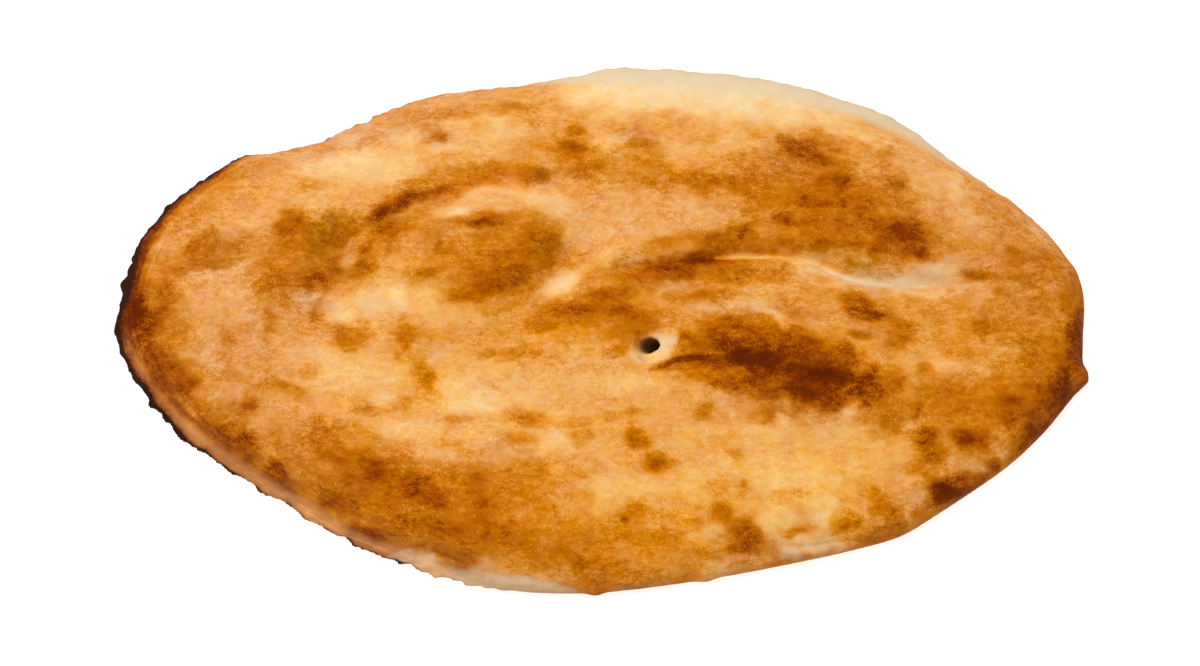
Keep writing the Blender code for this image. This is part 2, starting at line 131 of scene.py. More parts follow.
# Strokes of the oven's heat, broad ones first: x, y, half length, half width, turn, browning.
# In each table of strokes the turn is left out where there is none, and the last number is in hundredths.
STROKES = (
    # the general tone of each part of the loaf
    (-150, 0, 42, 60, 47), (-60, -32, 60, 20, 37), (10, -58, 70, 22, 41), (-62, -88, 60, 26, -12, 68),
    (20, -106, 72, 13, 60), (165, -20, 34, 55, 57), (85, -70, 42, 20, 36), (85, 48, 62, 22, -6, 62),
    (-118, 20, 24, 26, 55), (-40, 86, 62, 12, 6, 45), (30, 80, 42, 10, 45), (-45, 24, 30, 20, 60),
    (20, 13, 46, 8, 8, 62), (-2, -4, 36, 8, -4, 64), (-100, 60, 36, 12, 20, 36), (-160, -30, 16, 30, 45, 55),
    (20, 36, 26, 14, 42), (120, 2, 40, 8, 50),
    # the left end
    (-177, 6, 5, 20, 8, 70), (-186, -2, 9, 16, 80), (-189, -4, 7, 10, 90), (-190, 26, 5, 22, -20, 78),
    (-157, 31, 12, 7, 10, 66), (-154, 26, 9, 2.5, -5, 74), (-172, 18, 4, 4, 66), (-171, -26, 4, 12, 40, 78),
    (-168, -33, 6, 5, -50, 88), (-150, -54, 18, 4, -44, 86), (-127, -73, 9, 4, -32, 84),
    (-152, -43, 14, 7, -45, 60), (-141, -42, 3.5, 3, 74), (-163, -8, 5, 12, 10, 42), (-150, 10, 12, 12, 41),
    (-150, -18, 12, 14, 42), (-145, 40, 14, 6, 25, 42), (-166, 45, 16, 5, 40, 56),
    # the fingertip hollows
    (-125, 38, 6, 5, 72), (-134, 12, 7, 6, 71), (-127, 26, 13, 10, 60, 62), (-117, 12, 7, 4.5, 80),
    (-110, 33, 14, 7, 42, 68), (-97, 16, 6, 4, 10, 74), (-134, -5, 3, 7, 62), (-120, 1, 8, 5, 34),
    (-104, 21, 7, 3, 35, 40), (-112, -6, 7, 5, 60), (-88, 4, 16, 6, 20), (-106, -4, 7, 4, 26),
    # the middle left
    (-101, -13, 7.5, 5.5, 74), (-100, -13, 3, 2.5, 60), (-106, -28, 16, 8, 26), (-78, -14, 5, 8, 10, 60),
    (-124, -36, 9, 3.5, -25, 60), (-92, -43, 8, 4, 25, 60), (-80, -31, 5, 6, 60), (-118, -27, 5, 4, 56),
    (-146, -30, 6, 4, -30, 56), (-62, -12, 12, 6, -6, 47), (-50, -22, 12, 4, 40), (-60, -36, 16, 6, 25),
    (-30, -38, 14, 5, 30), (-40, -14, 10, 5, 50), (-66, -4, 10, 4, 36), (-75, 3, 8, 5, 32),
    (-30, -20, 10, 5, 42), (-12, -26, 9, 5, 44),
    # the front left shoulder
    (-105, -58, 17, 8, -20, 67), (-92, -70, 20, 8, -12, 76), (-88, -70, 6, 6, 84),
    (-122, -62, 12, 6, -30, 66), (-72, -78, 9, 5, -20, 84), (-64, -83, 6, 3, -25, 82), (-100, -84, 5, 3, 82),
    (-96, -93, 9, 3.2, -8, 92), (-74, -101, 14, 3, -5, 86), (-80, -86, 14, 7, -10, 70), (-50, -77, 5, 6, 74),
    (-44, -87, 8, 4, -30, 78), (-36, -96, 12, 5, -15, 72), (-55, -94, 14, 5, -10, 74),
    (-54, -105, 4, 7, 20, 78), (-28, -72, 8, 5, 62), (-64, -64, 10, 4, -10, 40), (-75, -53, 15, 5, 27),
    (-48, -55, 12, 5, 32), (-96, -50, 8, 4, 44), (-40, -64, 10, 4, 44),
    # the front middle
    (-28, -48, 9, 3.5, -5, 68), (-58, -48, 6, 2, 57), (-34, -57, 8, 3, 60), (-10, -52, 6, 5, 30, 54),
    (-15, -58, 9, 6, 26), (4, -47, 5, 3, 55), (15, -57, 6, 4, -25, 72), (22, -68, 7, 5, -10, 70),
    (22, -69, 3, 2.5, 84), (12, -46, 4, 2, 57), (42, -46, 3.5, 3.5, 66), (54, -64, 3, 2, 62),
    (54, -56, 4, 2, 56), (10, -34, 16, 5, 29), (-4, -42, 10, 4, 40), (8, -78, 18, 5, 31),
    (40, -76, 12, 8, 30), (12, -88, 8, 4, 60), (10, -91, 1.6, 1.6, 86), (-10, -84, 8, 6, 44),
    (48, -88, 5, 5, 72), (40, -92, 5, 3, 60), (30, -98, 26, 4, 58), (-10, -106, 18, 5, 70),
    (-12, -113, 10, 4, 68), (0, -117, 6, 4, 76), (14, -115, 8, 2, 76), (45, -104, 6, 2, 70),
    (46, -109, 6, 2, 30), (56, -113, 8, 2.5, 68), (-38, -108, 12, 4, -5, 52), (4, -100, 20, 4, 58),
    (28, -110, 12, 3, 58),
    # the front right
    (76, -72, 22, 9, -5, 27), (88, -88, 6, 8, 20), (70, -91, 8, 5, 26), (62, -54, 16, 5, 33),
    (95, -56, 14, 6, 36), (56, -96, 9, 6, -5, 78), (55, -101, 6, 2, 90), (79, -95, 9, 3, 10, 68),
    (57, -78, 4, 4, 56), (75, -80, 8, 3, 44), (97, -92, 10, 4, 10, 60), (110, -97, 14, 5, 20, 62),
    (105, -77, 8, 4, -20, 56), (112, -84, 6, 4, 62), (120, -72, 10, 6, 42), (130, -56, 6, 5, 80),
    (133, -63, 6, 6, 40, 74), (127, -68, 6, 4, 66), (147, -56, 6, 4, -15, 86), (162, -46, 5, 4, 84),
    (150, -44, 14, 6, 62), (138, -38, 12, 6, 66), (115, -48, 8, 8, 66), (70, -48, 10, 4, 66),
    (145, -73, 12, 4, 12, 92), (137, -77, 6, 4, 20, 84), (100, -45, 4, 2, 30, 16),
    # the right end
    (186, -36, 9, 8, -40, 90), (176, -48, 12, 6, 48, 82), (168, -57, 12, 4, 42, 74), (176, -24, 10, 16, 64),
    (193, -8, 4, 26, 4, 72), (198, -6, 6, 14, 86), (190, -16, 8, 7, -40, 82), (125, -22, 12, 5, 42),
    (137, -26, 14, 3, 33), (156, -8, 6, 3.5, 72), (150, 5, 8, 4, 46), (160, -18, 10, 5, 46),
    (172, -14, 4, 3, 66), (185, 22, 10, 14, 60, 58),
    # the scorched blister
    (70, -24, 34, 14, -12, 76), (54, -13, 14, 8, -8, 80), (80, -22, 22, 9, -12, 80),
    (88, -34, 17, 9, -8, 84), (57, -34, 11, 4, -12, 76), (48, -26, 24, 3.5, -3, 78), (107, -34, 10, 6, 80),
    (88, -43, 9, 4, 80), (66, -24, 4, 3, 88), (82, -28, 14, 5, -8, 88), (91, -31, 7, 2.5, -5, 93),
    (87, -38, 8, 4, 89), (118, -34, 6, 6, 72), (40, -31, 8, 3, -15, 66), (33, -18, 5, 5, 62),
    # round the vent
    (23, -20, 9, 7, 16), (14, -9, 12, 4, 20, 74), (8, -18, 6, 3, 40, 62), (52, -1, 14, 2.5, 8, 34),
    (68, -5, 8, 3, -30, 30), (40, 4, 20, 3, 8, 60), (4, 4, 9, 4, 78), (-12, -3, 14, 5, 74),
    (12, -4, 12, 4, -12, 76), (-24, -8, 9, 4, 66), (62, 6, 16, 4, 42), (105, -13, 6, 2, -10, 68),
    # the round blister and the valley behind it
    (-70, 14, 6, 3, 74), (-65, 24, 5, 6, 68), (-75, 20, 8, 5, 47), (-24, 25, 8, 13, -35, 72),
    (-48, 35, 12, 4, 5, 74), (-52, 4, 10, 3.5, 74), (-42, 10, 12, 6, 12, 76), (-45, 7, 8, 3.5, 8, 80),
    (-34, 12, 8, 6, 40, 74), (-52, 25, 9, 5, 60), (-40, 20, 8, 3, 74), (-88, 30, 8, 9, 66),
    (-85, 36, 9, 5, 76), (-45, 50, 20, 4, -2, 22), (-62, 44, 7, 4, 35, 30), (-20, 46, 12, 5, -18, 22),
    (-8, 32, 6, 8, 30, 28), (2, 28, 6, 8, -10, 34), (-15, 11, 10, 4, 35, 17), (-6, 20, 5, 5, 45),
    # the fold
    (20, 13, 12, 4, 12, 74), (31, 15.5, 12, 4, 6, 78), (44, 20.5, 10, 3, 4, 80), (56, 24, 12, 2.5, 2, 72),
    (52, 28, 12, 3, 5, 72), (57, 32, 5, 3, 78), (30, 27, 14, 3, 15, 60), (90, 27, 24, 3.5, 74),
    (74, 14, 14, 4, 62), (90, 13, 10, 3.5, -22, 20), (108, 17, 15, 4, -12, 34), (132, 13, 18, 6, 5, 30),
    (132, 7, 14, 3, 30), (110, -3, 10, 3, -20, 84), (105, 2, 10, 3.5, -20, 74),
    # the back shoulder
    (-80, 47, 16, 4, 22, 80), (-92, 41, 6, 3, 25, 86), (-64, 54, 16, 3.5, 14, 78), (-50, 60, 16, 4, 8, 66),
    (-76, 57, 9, 4, 10, 60), (-27, 58, 6, 3, 84), (-34, 60, 9, 4, 68), (-10, 68, 9, 7, 20, 76),
    (-10, 79, 4, 4, 68), (-3, 61, 9, 4, 66), (14, 71, 8, 5, 66), (18, 79, 12, 4, 54), (22, 60, 12, 5, 60),
    (8, 52, 12, 3, 46), (30, 52, 22, 2.5, -4, 62), (48, 53, 12, 3.5, -5, 72), (-70, 77, 6, 5, 62),
    (-66, 76, 2, 2, 76), (-38, 78, 10, 4, -8, 26), (-50, 75, 12, 4, 32), (-56, 70, 22, 3, 36),
    (-38, 90, 9, 4, 62), (-60, 89, 20, 3.5, 8, 56), (-88, 63, 16, 6, 18, 26), (-112, 64, 14, 6, 15, 22),
    (-118, 55, 8, 3, 50), (-150, 62, 16, 3, 28, 56),
    # the back right
    (70, 92, 7, 3, 44), (83, 72, 8, 5, -8, 84), (89, 67, 12, 4, -25, 78), (98, 72, 6, 4, 68),
    (97, 55, 8, 5, 10, 86), (104, 46, 20, 6, 72), (87, 46, 9, 4, 78), (75, 58, 22, 4, -5, 64),
    (62, 50, 22, 4, 66), (65, 64, 20, 3, 56), (40, 54, 12, 3, 68), (100, 36, 24, 6, 72), (75, 37, 5, 3, 80),
    (45, 40, 12, 6, 10, 38), (124, 32, 15, 9, -15, 80), (125, 32, 8, 6, -10, 86), (129, 25, 8, 4, -25, 82),
    (118, 76, 9, 2.5, -22, 60), (118, 65, 4, 4, 62), (122, 54, 4, 2.5, 68), (121, 46, 7, 6, 62),
    (150, 14, 12, 3, 74), (173, 13, 7, 3, -8, 76), (171, 22, 5, 5, 72), (165, 8, 4, 3, 62),
    (150, 40, 9, 9, 36), (168, 42, 12, 10, -45, 52), (140, 46, 8, 8, 44), (108, 62, 7, 5, 50),
    (55, 74, 16, 4, 44),
    # a second coat, the left
    (-167, 25, 5, 5, 70), (-157, 21, 9, 4, 69), (-145, 14, 6, 4, 50), (-128, 36, 6, 7, 76),
    (-110, 18, 5, 4.5, 70), (-96, 25, 5, 4.5, 72), (-70, 30, 5, 7, -20, 60), (-62, 48, 7, 4.5, 25, 62),
    (-75, 40, 8, 3.5, 25, 56), (-60, 40, 5, 3, 20, 36), (-82, 59, 10, 4, 10, 20), (-72, 54, 8, 3, 15, 52),
    (-58, 56, 12, 3, 5, 54), (-45, 49, 9, 3, -4, 42), (-98, 78, 8, 5, 52), (-185, 10, 4, 10, 5, 55),
    (-179, -27, 5, 11, 25, 84), (-170, -8, 5, 6, 62), (-150, -18, 7, 8, 54), (-155, -37, 6, 4, -40, 46),
    (-141, -56, 6, 7, 30, 74), (-129, -69, 8, 4, -30, 80), (-107, -81, 7, 4, -15, 78),
    (-96, -93, 9, 3, -8, 92), (-83, -30, 6, 5.5, 27), (-88, -40, 6, 4, 22), (-71, -30, 4, 9, 4, 64),
    (-68, -39, 5, 3, 44), (-78, -42, 5, 3.5, 20, 52), (-38, -21, 12, 3.5, 54), (-14, -16, 6, 4, 50),
    (-50, -42, 12, 4, 17), (-8, -57, 4.5, 4.5, 56), (-95, -58, 12, 4, -10, 53), (-70, -104, 10, 4, -15, 45),
    (-32, -90, 12, 6, -20, 55),
    # a second coat, the back and the right
    (0, 99, 16, 9, 14), (28, 99, 30, 11, 6), (58, 95, 26, 11, -6, 7), (86, 87, 20, 10, -18, 12),
    (112, 74, 18, 8, -30, 24), (134, 58, 16, 6, -38, 32), (5, 73, 8, 3.5, 32), (40, 68, 10, 5, 40),
    (27, 50, 4, 3, 56), (52, 43, 5, 8, 50), (5, 29, 14, 3, 8, 43), (62, 24.5, 12, 2, 63),
    (52, 13, 10, 6, 66), (32, 13, 7, 3, 5, 76), (90, 12, 7, 2.5, -15, 46), (114, 25, 7, 4, -10, 74),
    (122, 41, 8, 4, 58), (142, 14, 7, 3.5, 36), (145, 7, 6, 3, 50), (104, -3, 6, 3, -20, 75),
    (118, -14, 6, 6, 66), (124, -10, 4, 5, 68), (79, -4, 7, 3, -10, 60), (67, -9, 4, 4, 62),
    (28, -27, 7, 2.5, 5, 70), (51, -36, 7, 3.5, -15, 74), (68, -29, 8, 4, -10, 84), (68, -39, 9, 3.5, 80),
    (73, -49, 4, 3.5, 37), (100, -22, 5, 5, 80), (105, -39, 8, 4, -10, 80), (131, -27, 3.5, 3.5, 62),
    (127, -44, 4, 4, 74), (165, -42, 8, 5, 78), (153, -55, 4, 4, 78), (187, -27, 5, 7, 88),
    (144, -72, 12, 4, 6, 94), (158, -65, 4, 4, 84), (134, -68, 5, 4, 20, 52), (148, -60, 5, 3, 60),
    (129, -87, 5, 4, 60), (82, -98, 10, 4, 3, 35), (93, -97, 8, 4, 45), (45, -107, 6, 3, 45),
    (45, -96, 6, 5, 44), (102, 20, 14, 3.5, -12, 55), (47, -77, 5, 4, 48), (40, -84, 4, 4, 46),
)

# A little more heat here and a little less there: x, y, half length, half width, turn, by how much
TOUCHES = (
    # the left end
    (-197, 0, 5, 7, 16), (-193, -13, 4, 5, -7), (-190, 0, 6, 6, 10), (-190, 0, 6, 7, 10),
    (-187, 14, 4, 7, -7), (-185, -38, 8, 4, -55, 8), (-185, 22, 4, 10, -25, -6), (-184, 28, 8, 4, 68, -6),
    (-184, -5, 4, 4, -7), (-182, -15, 4, 6, 7), (-180, -13, 5, 10, 7), (-180, 20, 4, 8, -15, -14),
    (-173, -30, 3, 3, -45, -6), (-173, 0, 4, 6, 7), (-168, -30, 4, 4, -6), (-165, -60, 5, 4, -45, 6),
    (-160, -30, 3, 6, 6), (-160, 34, 4, 4, 8), (-158, 33, 8, 5, -5), (-155, -60, 8, 4, -45, 8),
    (-155, -48, 14, 5, -30, 5), (-152, 26, 4, 4, -7), (-150, -10, 6, 6, 7), (-144, -36, 8, 4, -6),
    (-140, -55, 6, 5, 5), (-140, 35, 8, 5, -20, -6),
    # the back left
    (-120, 76, 10, 3, 15, 6), (-104, 78, 7, 5, -8), (-104, 79, 6, 4, -6), (-100, 68, 6, 5, -7),
    (-100, 62, 12, 5, -5), (-85, 77, 10, 5, -6), (-82, 64, 4, 3, 6), (-82, 57, 4, 3, 6),
    (-80, 90, 10, 4, 20, 5), (-80, 75, 10, 4, -5), (-78, 76, 8, 4, -8), (-78, 56, 4, 4, 6),
    (-62, 69, 5, 3, -8), (-60, 84, 8, 4, -5), (-60, 82, 6, 4, -6), (-55, 46, 12, 4, -10),
    (-55, 68, 10, 4, -5), (-45, 85, 7, 4, -9), (-40, 86, 8, 3, -10), (-38, 60, 5, 5, -7),
    (-32, 60, 14, 4, -15, -6), (-30, 78, 6, 8, 5), (-25, 72, 14, 8, 5), (-20, 86, 10, 4, -5),
    (-20, 97, 10, 4, -5), (-18, 72, 8, 5, 5),
    # the middle left
    (-138, 16, 8, 4, 5), (-138, -38, 14, 5, 45, 5), (-127, 3, 6, 4, 6), (-125, 6, 5, 4, 5),
    (-122, -33, 8, 3, 6), (-121, 3, 6, 4, 9), (-120, -20, 8, 5, 20, -8), (-120, 5, 5, 3, -7),
    (-120, 5, 6, 4, -6), (-118, 33, 4, 5, 6), (-118, 0, 6, 4, 40, 15), (-118, 8, 4, 4, -12),
    (-118, 8, 4, 3, -8), (-117, 2, 3, 4, 60, 7), (-113, -5, 3, 5, -7), (-112, 22, 8, 6, 5),
    (-110, 43, 10, 5, -6), (-107, 2, 5, 5, -6), (-107, -20, 6, 4, -6), (-105, 0, 8, 3, -70, -7),
    (-104, 18, 5, 4, 7), (-95, 42, 5, 4, -8), (-95, 38, 5, 4, -6), (-92, -4, 12, 5, -5), (-91, 0, 12, 4, 6),
    (-90, 22, 4, 6, -10), (-88, 4, 4, 4, 10), (-82, -15, 6, 3, 40, 7), (-82, -15, 5, 5, -8),
    (-80, 2, 5, 4, -14), (-75, -15, 8, 4, 40, 8), (-75, -13, 5, 4, 40, 6), (-62, 22, 10, 5, 5),
    (-62, 38, 6, 4, -7), (-60, 22, 8, 4, -5), (-58, 38, 6, 4, -6), (-58, 28, 6, 5, -7), (-55, 38, 5, 5, -7),
    (-55, 38, 8, 5, -6), (-50, 34, 8, 3, 6), (-50, 33, 8, 2.5, 6), (-48, -20, 4, 3, 6),
    (-45, -26, 10, 4, -5), (-45, 42, 9, 4, -12), (-40, -4, 12, 3, -5), (-35, 44, 10, 4, -7),
    (-28, -20, 6, 5, 8), (-26, -2, 6, 6, 60, -6), (-14, 6, 5, 4, 40, -10), (-10, -30, 6, 8, -5),
    (-8, 28, 5, 10, 6), (-5, 10, 5, 7, -40, -7),
    # the front left
    (-135, -69, 12, 5, -30, 8), (-135, -52, 10, 5, 5), (-120, -60, 10, 4, -35, -8),
    (-110, -74, 8, 3, -30, 6), (-105, -70, 8, 4, -25, -6), (-103, -85, 8, 4, -8), (-100, -79, 8, 4, 5),
    (-90, -101, 5, 3, -10), (-88, -66, 12, 5, -5), (-84, -97, 6, 3, 7), (-78, -108, 6, 3, 10),
    (-65, -74, 8, 6, -6), (-55, -84, 5, 8, -5), (-35, -92, 4, 4, 8), (-22, -47, 8, 4, -10),
    (-20, -96, 5, 6, -6), (-20, -107, 6, 6, -6), (-18, -111, 8, 4, -9), (-14, -114, 10, 3, -10),
    (-8, -75, 10, 7, 5),
    # the back right
    (0, 70, 6, 7, -8), (3, 84, 8, 6, -5), (12, 88, 12, 4, 10, -7), (18, 85, 8, 7, -6), (22, 78, 8, 4, -5),
    (30, 70, 7, 4, -6), (32, 64, 5, 5, -12), (35, 45, 4, 7, -6), (47, 62, 10, 5, -7), (54, 82, 8, 6, -7),
    (58, 72, 8, 5, -20, -12), (68, 93, 5, 3, 6), (68, 94, 6, 3, 7), (76, 68, 14, 3, -10, 5),
    (88, 86, 6, 5, 12), (90, 77, 14, 5, -5, 10), (90, 81, 12, 5, -5, 6), (92, 79, 14, 4, -8, 9),
    (93, 83, 10, 3.5, -5, 6), (98, 77, 8, 4, 10), (105, 60, 6, 6, 5), (105, 60, 5, 5, 5),
    (112, 71, 12, 5, -15, 12), (112, 69, 10, 4, -20, 7), (115, 72, 10, 3.5, -18, 9), (119, 63, 8, 5, -50, 8),
    (128, 62, 6, 6, -45, 7), (130, 56, 8, 5, -40, 8), (137, 68, 14, 4, -45, -6), (140, 50, 5, 8, 5),
    (147, 54, 6, 5, -7), (147, 60, 10, 4, -50, -5), (149, 55, 8, 4, -70, -9),
    # the fold and the vent
    (2, 12, 6, 9, -6), (7, -8, 7, 4, -6), (8, 43, 10, 5, -6), (12, 10, 10, 3, 5, -5), (24, -4, 4, 9, -6),
    (35, -19, 9, 4, 10), (35, -16, 4, 5, 8), (36, 17.5, 22, 4, 4, 6), (37, -9, 4, 6, -8), (37, 6, 6, 3, -6),
    (42, 27, 10, 4, 6), (45, -1, 20, 2, 5), (46, 2, 12, 3, 5), (48, 20, 10, 3, 6), (48, -20, 5, 4, 10),
    (50, 3, 12, 3, 6), (60, -24, 12, 6, 11), (60, -26, 9, 4, 8), (62, 23, 9, 2, -6), (62, -43, 8, 3, 6),
    (62, -32, 5, 3, 5), (62, -26, 10, 7, 3), (63, -27, 10, 5, 9), (68, -6, 4, 5, -60, -7), (75, 0, 5, 4, 6),
    (78, 13, 10, 3, -7), (78, -35, 8, 6, 40, 8), (78, -38, 5, 3, 8), (82, 24, 6, 5, -10), (85, -13, 7, 4, 6),
    (88, -46, 4, 4, 6), (90, -45, 5, 3, -7), (92, 19, 10, 3, -25, -7), (92, -32, 9, 3, -5, 8),
    (101, -33, 6, 4, 7), (104, -42, 6, 6, 5), (105, 5, 8, 2, -20, 6), (105, -32, 6, 5, 5),
    (105, 22, 5, 2.5, -15, 7), (106, 13, 5, 2, -15, 8), (108, -10, 6, 4, 6), (112, -9, 4, 2, 8),
    (118, -3, 8, 3, -10, 8), (118, 17, 9, 3, -5, 6), (120, -25, 5, 3, 6), (120, 8.5, 7, 2.5, 7),
    (122, 11, 8, 2, -8), (122, 20, 5, 3, 8), (125, -27, 5, 3, 6), (128, 18, 4, 3, 6), (135, 32, 4, 3, -6),
    # the right end
    (140, 16, 5, 3, -8), (146, 35, 5, 8, 5), (148, -7, 12, 3, 10, -5), (150, 10, 5, 3, -7),
    (153, 11, 6, 3, -10), (155, -26, 6, 4, -8), (160, -16, 8, 3, 6), (160, -36, 12, 4, -15, 6),
    (170, 10, 5, 4, -6), (172, 20, 5, 3, -6), (175, -35, 6, 4, -30, 7), (178, 3, 5, 5, 5),
    (178, -37, 4, 6, -30, 7), (182, -46, 9, 5, 45, -8), (184, -32, 4, 5, -6), (185, 23, 5, 5, 5),
    (185, -17, 6, 4, 70, -10), (186, 38, 5, 8, -55, -6), (188, -12, 7, 4, 20, -8), (190, -42, 4, 4, -6),
    (190, -30, 6, 5, 6), (195, 0, 4, 6, -8), (199, -34, 5, 6, 16), (199, 5, 4, 6, -10), (199, -24, 4, 5, -8),
    (204, -36, 4, 5, 12),
    # the front right
    (4, -85, 8, 5, -5), (10, -104, 14, 4, -5), (20, -70, 4, 4, -9), (25, -103, 14, 6, -6),
    (35, -108, 12, 4, -6), (40, -95, 6, 4, -9), (40, -115, 8, 2.5, 6), (40, -95, 7, 4, -6),
    (40, -112, 14, 3, 3, 6), (42, -76, 8, 5, 5), (45, -113, 12, 2.5, 8), (48, -111, 8, 3, 8),
    (48, -114, 14, 2.5, 3, 8), (50, -64, 4, 4, 6), (52, -103, 8, 3, 8, -13), (55, -99, 8, 2, -6),
    (60, -107, 14, 3, 5, -5), (68, -74, 4, 5, -6), (70, -97, 6, 3, -6), (72, -49, 5, 3, -8),
    (72, -98, 7, 3, -8), (75, -97, 10, 2.5, -8), (84, -101, 12, 2.5, 6), (85, -103, 16, 2.5, 3, 7),
    (88, -93, 4, 5, -7), (90, -95, 8, 5, -7), (90, -104, 16, 2.5, 5, 6), (93, -98, 6, 3, -10),
    (98, -76, 4, 5, -6), (100, -88, 6, 3, 9), (102, -78, 4, 4, -7), (110, -80, 10, 4, 7),
    (110, -98, 7, 3, 15, 6), (112, -83, 3, 3, -6), (112, -95, 8, 3, 15, 7), (118, -89, 4, 5, 10),
    (118, -86, 4, 7, 7), (120, -88, 4, 5, 8), (123, -71, 4, 3, -7), (128, -76, 5, 4, 10),
    (134, -76, 6, 5, 10), (134, -82, 8, 4, 25, 14), (135, -52, 6, 4, 6), (137, -48, 5, 4, -60, 8),
    (140, -58, 4, 6, 6), (142, -79, 6, 4, 30, 8), (148, -69, 8, 3, 10, -15), (150, -52, 8, 3, -15, 6),
    (163, -58, 9, 3.5, 35, -10), (164, -62, 6, 4, 70, -8), (165, -58, 10, 3, 40, -5), (165, -54, 5, 3, 6),
    (176, -50, 8, 4, 45, 8),
)

# Where the crust is pinker and greyer than its browning alone, or below 0 where it is more golden
COOL_STROKES = (
    (-160, -10, 46, 70, 30), (-160, 19, 11, 5, 70), (-158, 28, 10, 6, 50), (-148, -16, 12, 16, 45),
    (-175, -12, 8, 20, 10, 20), (-130, -52, 30, 12, -36, 35), (-106, -72, 14, 7, -30, 25),
    (-118, 6, 12, 7, 20, 45), (-108, 22, 10, 6, 60, 40), (-66, 30, 20, 7, 10, 30), (-75, 46, 22, 7, 20, 25),
    (-100, 80, 60, 10, 18, 45), (-66, 76, 10, 5, 50), (-25, 56, 6, 3, 60), (15, 75, 10, 5, 50),
    (-58, 54, 12, 5, -15), (80, 66, 16, 12, 35), (130, 45, 34, 30, -40, 22), (102, 46, 12, 9, -10),
    (20, 40, 50, 14, 20), (116, 15, 34, 6, -6, 50), (170, 20, 22, 30, 10, 25), (185, -14, 12, 10, -10),
    (28, 8, 20, 3, 35), (65, -3, 26, 4, 35), (75, 21, 30, 3, -3, -50), (110, -12, 14, 4, -35, 30),
    (75, -45, 34, 5, -8, 30), (-70, -30, 14, 12, -30), (-16, -13, 16, 6, -30), (-66, -20, 5, 4, 45),
    (-26, -46, 14, 5, -20), (6, -52, 14, 7, -20), (80, -72, 40, 18, 6, -25), (20, -92, 44, 18, -30),
    (98, -88, 12, 8, -40), (58, -98, 9, 8, 25), (-38, -62, 10, 5, 30), (140, -55, 5, 6, 30),
    (150, -68, 22, 7, 25, 20), (132, -78, 14, 4, 10, 30), (-58, -68, 24, 6, -10, 15),
)

# How cool the crust is elsewhere, and what the rim adds to it: how far in it reaches, how much it adds
COOL_START = -0.05
COOL_RIM = (12.0, 0.35)

# Where the dough stays raw and pale grey: x, y, half length, half width, turn, how pale
RAW_STROKES = (
    (80, -100, 13, 3.4, 3, 50), (93, -98, 9, 3.2, 8, 25), (-73, -103, 14, 4, -14, 75),
    (-50, -109, 16, 4, -6, 60), (122, 10.5, 22, 4.5, -4, 45), (24, -16.5, 5.5, 4.5, 65),
    (17, -21.5, 5, 2.5, 60), (-20, 8, 8, 3, 40, 35), (-91, 0, 13, 6, 45), (46, -110, 6, 1.6, 50),
    (-96, 62, 16, 5, 18, 35), (-45, 52, 16, 2.5, 30), (139, 17, 9, 5, 20, 45), (84, 20, 8, 2.5, -5, 40),
    (50, 92, 46, 8, -6, 30), (-107, 1, 8, 5, -10, 35), (-104, 79, 9, 4, 18, 30),
)
# The fold's pale lip: unbrowned dough with a painted highlight along its edge: line, half width, rawness,
# strength
RAW_AND_HIGHLIGHT_LINES = (
    (((80, 21), (87, 20), (93, 17.3), (101, 14), (109, 11.6), (118, 10.2), (130, 9)), 2.0, 1.0, 0.45),
)

# Painted shade in hollows and sharply sloping folds, darkening the dough where less light reaches: x, y, half
# length, half width, turn, how dark
PAINTED_SHADE_STROKES = (
    (-112, 30, 16, 9, 50, 85), (-104, 18, 10, 7, 40, 60), (-122, 3, 8, 7, 35), (-117, 0, 4, 8, 70),
    (-106, -3, 3, 8, 45), (-22, 24, 6, 14, -35, 75), (-30, 10, 9, 4, 40, 50), (104, 18, 24, 5, -16, 90),
    (-86, 40, 14, 4, 25, 35), (10, 20, 16, 3, 15, 30), (128, 12, 22, 6, -5, 80), (15, -15, 3, 3, 40, 50),
    (70, 21.8, 18, 2.5, 60), (112, 19, 12, 3, -15, 40),
)

# The raw band along the rim: degrees round the loaf, width, strength
RIM_RAW = (
    (12, 2, 0), (20, 6, 0.4), (28, 9, 0.7), (36, 12, 0.9), (45, 15, 1), (60, 17, 1), (75, 17, 1),
    (88, 14, 1), (96, 9, 0.9), (104, 5, 0.5), (112, 2, 0), (229, 2, 0), (235, 4.2, 0.5), (244, 4.6, 0.72),
    (254, 4.6, 0.75), (261, 3.2, 0.7), (265, 1.8, 0.5), (267, 1.2, 0.1), (270, 1.2, 0.1), (273, 1.6, 0.35),
    (288, 1.2, 0.1), (298, 1.2, 0),
)

# The torn wall's bare band: degrees round the loaf, width, strength
WALL_BARE = (
    (182, 3.5, 0), (187, 4.5, 0.6), (195, 5.5, 0.9), (202, 5.5, 1), (209, 5, 1), (216, 4.8, 1),
    (222, 3.6, 1), (226, 3.6, 1), (232, 5, 0.9), (240, 3.2, 0.6), (247, 2, 0),
)

